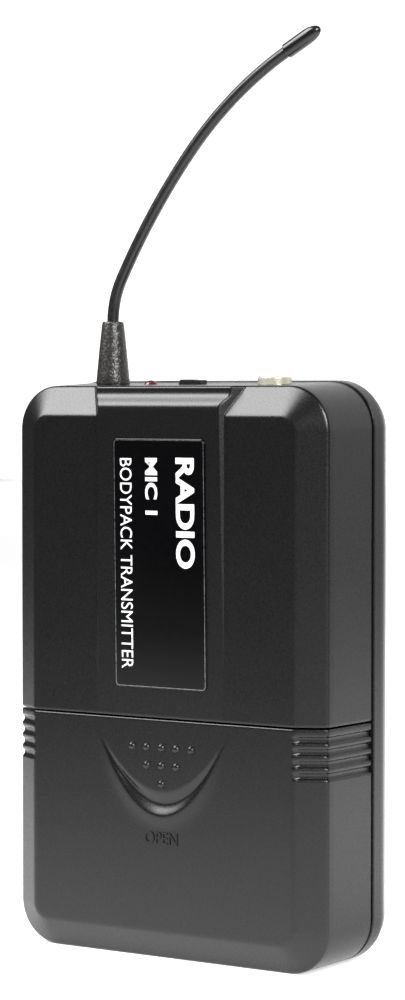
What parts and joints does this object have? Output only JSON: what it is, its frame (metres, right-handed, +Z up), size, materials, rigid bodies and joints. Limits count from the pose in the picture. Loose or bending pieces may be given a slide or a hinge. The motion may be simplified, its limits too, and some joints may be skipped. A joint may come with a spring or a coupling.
{
  "type": "wireless bodypack transmitter",
  "caption": "Belt-worn wireless microphone transmitter with a flexible whip antenna, a bevelled case, a sliding battery door and a belt clip.",
  "frame": {"origin": "middle of the lower edge of the parting plane between front half and rear shell, on the flat base", "axes": "+Z up towards the antenna, +X to the right as seen from the front, front face towards -Y"},
  "size_m": [0.069, 0.0332, 0.169],
  "materials": {
    "case_plastic": "moulded ABS, fine satin spark-eroded surface",
    "inner_plastic": "moulded ABS, matte",
    "cell_jacket": "shrunk film jacket on an AA cell",
    "plated_steel": "nickel- or tin-plated steel",
    "wire_insulation": "PVC insulation",
    "label_gloss": "black polycarbonate label, printed",
    "red_lens": "diffused red epoxy lens",
    "knob_plastic": "moulded nylon",
    "chrome_plate": "nickel-chrome plated brass",
    "brass_turned": "turned brass",
    "whip_sleeve": "extruded flexible PVC sleeve over the whip",
    "boot_rubber": "moulded rubber, rough",
    "tip_gloss": "moulded end cap, glossy",
    "board_laminate": "glass-fibre laminate with green mask",
    "chip_epoxy": "epoxy chip package",
    "capacitor_sleeve": "capacitor sleeve",
    "ferrite": "sintered ferrite",
    "black_screw": "blackened steel"
  },
  "bodies": {
    "case": {"front_cover": "case_plastic", "rear_shell": "case_plastic", "battery_tray": "inner_plastic", "battery_lower": "cell_jacket", "battery_upper": "cell_jacket", "contact_plates": "plated_steel", "contact_springs": "plated_steel", "contact_link": "plated_steel", "battery_leads": "wire_insulation", "label_plate": "label_gloss", "power_led": "red_lens", "led_leads": "plated_steel", "switch_body": "plated_steel", "switch_pins": "plated_steel", "jack_barrel": "chrome_plate", "jack_body": "knob_plastic", "jack_pins": "plated_steel", "antenna_ferrule": "brass_turned", "antenna_whip": "whip_sleeve", "antenna_boot": "boot_rubber", "antenna_tip": "tip_gloss", "antenna_wire": "wire_insulation", "circuit_board": "board_laminate", "rf_shield": "plated_steel", "ic_chips": "chip_epoxy", "crystal": "plated_steel", "capacitors": "capacitor_sleeve", "coils": "ferrite", "case_screws": "black_screw", "board_screws": "plated_steel", "clip_bracket": "inner_plastic", "clip_pin": "plated_steel", "clip_spring": "plated_steel"},
    "door": {"battery_door": "case_plastic"},
    "knob": {"switch_knob": "knob_plastic"},
    "clip": {"belt_clip": "case_plastic"}
  },
  "joints": [
    {"name": "door_slide", "type": "slide", "parent": "case", "child": "door", "axis": [0, 0, -1], "range_m": [0, 0.046]},
    {"name": "switch_slide", "type": "slide", "parent": "case", "child": "knob", "axis": [1, 0, 0], "range_m": [0, 0.002]},
    {"name": "clip_hinge", "type": "hinge", "parent": "case", "child": "clip", "pos_m": [0, 0.0105, 0.09], "axis": [1, 0, 0], "range_deg": [0, 20], "stiffness_Nm_per_rad": 0.05}
  ]
}
